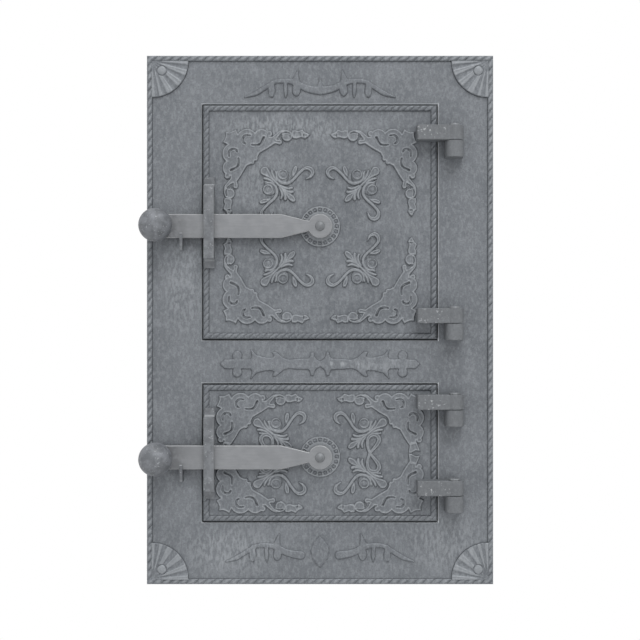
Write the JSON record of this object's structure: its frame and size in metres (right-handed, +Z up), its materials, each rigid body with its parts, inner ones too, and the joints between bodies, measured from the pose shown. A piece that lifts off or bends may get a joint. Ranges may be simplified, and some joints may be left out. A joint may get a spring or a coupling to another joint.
{
  "type": "cast iron oven door",
  "caption": "Cast iron oven front with two hinged relief doors, one above the other, each held shut by a pivoting latch arm with a ball knob.",
  "frame": {"origin": "on the frame's back seating plane, at the centre line and the bottom edge", "axes": "+X right seen from the front, +Y back into the wall, +Z up; the front faces -Y"},
  "size_m": [0.3295, 0.0723, 0.496],
  "materials": {
    "cast_iron": "rough grey casting, dulled, with paler rubbed patches",
    "cast_guide": "rough grey casting",
    "cast_knob": "rough grey with pale speckles",
    "steel_arm": "flat bar, brushed and dull",
    "plain_steel": "plain dull steel"
  },
  "bodies": {
    "frame": {"frame": "cast_iron", "upper_catch": "cast_guide", "lower_catch": "cast_guide", "upper_door_top_hinge_pin": "plain_steel", "upper_door_bottom_hinge_pin": "plain_steel", "lower_door_top_hinge_pin": "plain_steel", "lower_door_bottom_hinge_pin": "plain_steel"},
    "upper_door": {"upper_door": "cast_iron", "upper_latch_guide": "cast_guide", "upper_pivot_rivet": "plain_steel", "upper_rivet_washer": "plain_steel"},
    "lower_door": {"lower_door": "cast_iron", "lower_latch_guide": "cast_guide", "lower_pivot_rivet": "plain_steel", "lower_rivet_washer": "plain_steel"},
    "upper_latch": {"upper_latch_arm": "steel_arm", "upper_knob": "cast_knob", "upper_knob_screw": "plain_steel"},
    "lower_latch": {"lower_latch_arm": "steel_arm", "lower_knob": "cast_knob", "lower_knob_screw": "plain_steel"}
  },
  "joints": [
    {"name": "upper_door_hinge", "type": "hinge", "parent": "frame", "child": "upper_door", "pos_m": [0.125, -0.016, 0.3398], "axis": [0, 0, 1], "range_deg": [0, 165]},
    {"name": "lower_door_hinge", "type": "hinge", "parent": "frame", "child": "lower_door", "pos_m": [0.125, -0.016, 0.12335], "axis": [0, 0, 1], "range_deg": [0, 165]},
    {"name": "upper_latch_pivot", "type": "hinge", "parent": "upper_door", "child": "upper_latch", "pos_m": [0, -0.01275, 0.3356], "axis": [0, 1, 0], "range_deg": [0, 9]},
    {"name": "lower_latch_pivot", "type": "hinge", "parent": "lower_door", "child": "lower_latch", "pos_m": [0, -0.01275, 0.1198], "axis": [0, 1, 0], "range_deg": [0, 9]}
  ]
}
